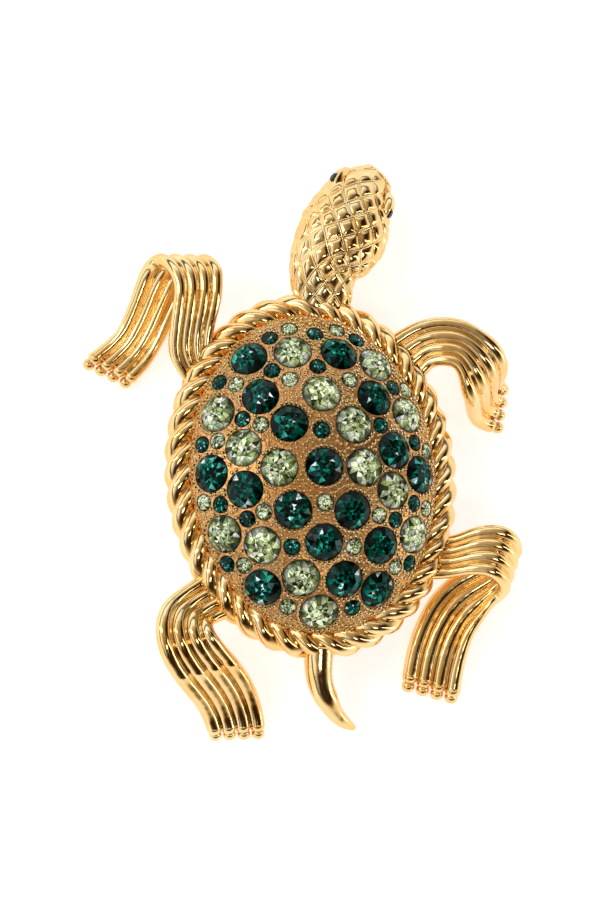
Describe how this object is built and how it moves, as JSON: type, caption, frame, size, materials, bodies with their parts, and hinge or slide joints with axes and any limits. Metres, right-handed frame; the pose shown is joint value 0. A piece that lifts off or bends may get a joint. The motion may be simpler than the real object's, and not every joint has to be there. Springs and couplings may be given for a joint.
{
  "type": "turtle brooch",
  "caption": "Gilt turtle brooch with a rope-edged domed shell set with green round stones, ribbed ball-toed legs, a scaled head and a pin across its back.",
  "frame": {"origin": "centre of the whole outline seen from above, at the height of the toes' undersides", "axes": "+Z out of the shell's crown, +Y towards the head, +X to the right seen from above with the head away"},
  "size_m": [0.0605, 0.0794, 0.0169],
  "materials": {
    "gilt_metal": "bright gilt, darkened in its creases",
    "emerald_glass": "cut and foil-backed",
    "peridot_glass": "cut and foil-backed",
    "dark_glass": "cut and foil-backed"
  },
  "bodies": {
    "root": {"brooch_pin": "gilt_metal", "emerald_01": "emerald_glass", "emerald_02": "emerald_glass", "emerald_03": "emerald_glass", "emerald_04": "emerald_glass", "emerald_05": "emerald_glass", "emerald_06": "emerald_glass", "emerald_07": "emerald_glass", "emerald_08": "emerald_glass", "emerald_09": "emerald_glass", "emerald_10": "emerald_glass", "emerald_11": "emerald_glass", "emerald_12": "emerald_glass", "emerald_13": "emerald_glass", "emerald_14": "emerald_glass", "emerald_15": "emerald_glass", "emerald_16": "emerald_glass", "emerald_17": "emerald_glass", "eye_left": "dark_glass", "eye_right": "dark_glass", "peridot_01": "peridot_glass", "peridot_02": "peridot_glass", "peridot_03": "peridot_glass", "peridot_04": "peridot_glass", "peridot_05": "peridot_glass", "peridot_06": "peridot_glass", "peridot_07": "peridot_glass", "peridot_08": "peridot_glass", "peridot_09": "peridot_glass", "peridot_10": "peridot_glass", "peridot_11": "peridot_glass", "peridot_12": "peridot_glass", "peridot_13": "peridot_glass", "peridot_14": "peridot_glass", "peridot_15": "peridot_glass", "shell_plate": "gilt_metal", "small_emeralds": "emerald_glass", "small_peridots": "peridot_glass", "turtle_frame": "gilt_metal"}
  },
  "joints": []
}
